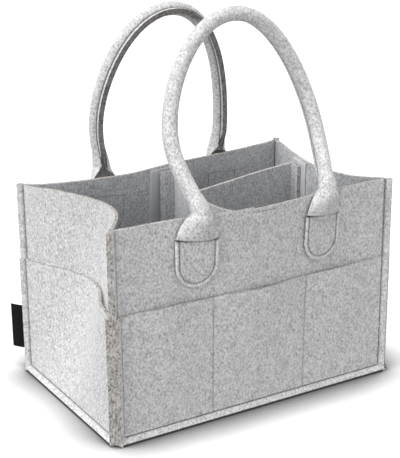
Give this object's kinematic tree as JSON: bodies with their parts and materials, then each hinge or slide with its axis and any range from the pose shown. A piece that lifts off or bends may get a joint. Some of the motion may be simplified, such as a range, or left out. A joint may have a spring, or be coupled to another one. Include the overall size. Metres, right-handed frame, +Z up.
{
  "type": "diaper caddy",
  "caption": "Open soft felt caddy with sewn outer pockets, rolled carry handles on its long walls and lift-out felt dividers that part the inside.",
  "frame": {"origin": "on the floor, at the middle of the base's underside", "axes": "+Z up, -Y out of the front, +X to the right along the front"},
  "size_m": [0.3773, 0.2621, 0.4384],
  "materials": {
    "felt_panel": "heather grey pressed wool-look felt, matt, raw cut edges",
    "felt_pocket": "heather grey pressed felt, matt, raw cut edges",
    "felt_handle": "heather grey pressed felt, rolled and stitched",
    "felt_divider": "heather grey pressed felt, matt",
    "handle_core": "soft wadding rope",
    "fastener_tape": "woven touch-fastener tape, grey",
    "woven_tag": "black woven folded tag, bare"
  },
  "bodies": {
    "caddy": {"front_panel": "felt_panel", "front_pocket": "felt_pocket", "back_panel": "felt_panel", "back_pocket": "felt_pocket", "left_panel": "felt_panel", "left_pocket": "felt_pocket", "right_panel": "felt_panel", "right_pocket": "felt_pocket", "base_panel": "felt_panel", "front_left_tab": "felt_handle", "front_right_tab": "felt_handle", "back_left_tab": "felt_handle", "back_right_tab": "felt_handle", "back_loop_tape": "fastener_tape", "right_loop_tape": "fastener_tape", "front_loop_tape": "fastener_tape", "side_tag": "woven_tag"},
    "front_handle": {"front_handle_sleeve": "felt_handle", "front_handle_core": "handle_core"},
    "back_handle": {"back_handle_sleeve": "felt_handle", "back_handle_core": "handle_core"},
    "cross_divider": {"cross_divider": "felt_divider", "cross_back_hook_tape": "fastener_tape", "cross_front_hook_tape": "fastener_tape", "cross_joint_loop_tape": "fastener_tape"},
    "long_divider": {"long_divider": "felt_divider", "long_right_hook_tape": "fastener_tape", "long_joint_hook_tape": "fastener_tape"}
  },
  "joints": [
    {"name": "front_handle_swing", "type": "hinge", "parent": "caddy", "child": "front_handle", "pos_m": [0, -0.12342, 0.238], "axis": [1, 0, 0], "range_deg": [-7, 106]},
    {"name": "back_handle_swing", "type": "hinge", "parent": "caddy", "child": "back_handle", "pos_m": [0, 0.09844, 0.238], "axis": [-1, 0, 0], "range_deg": [-8, 80]},
    {"name": "cross_divider_lift", "type": "slide", "parent": "caddy", "child": "cross_divider", "axis": [0, 0, 1], "range_m": [0, 0.17]},
    {"name": "long_divider_lift", "type": "slide", "parent": "caddy", "child": "long_divider", "axis": [0, 0, 1], "range_m": [0, 0.235]}
  ]
}
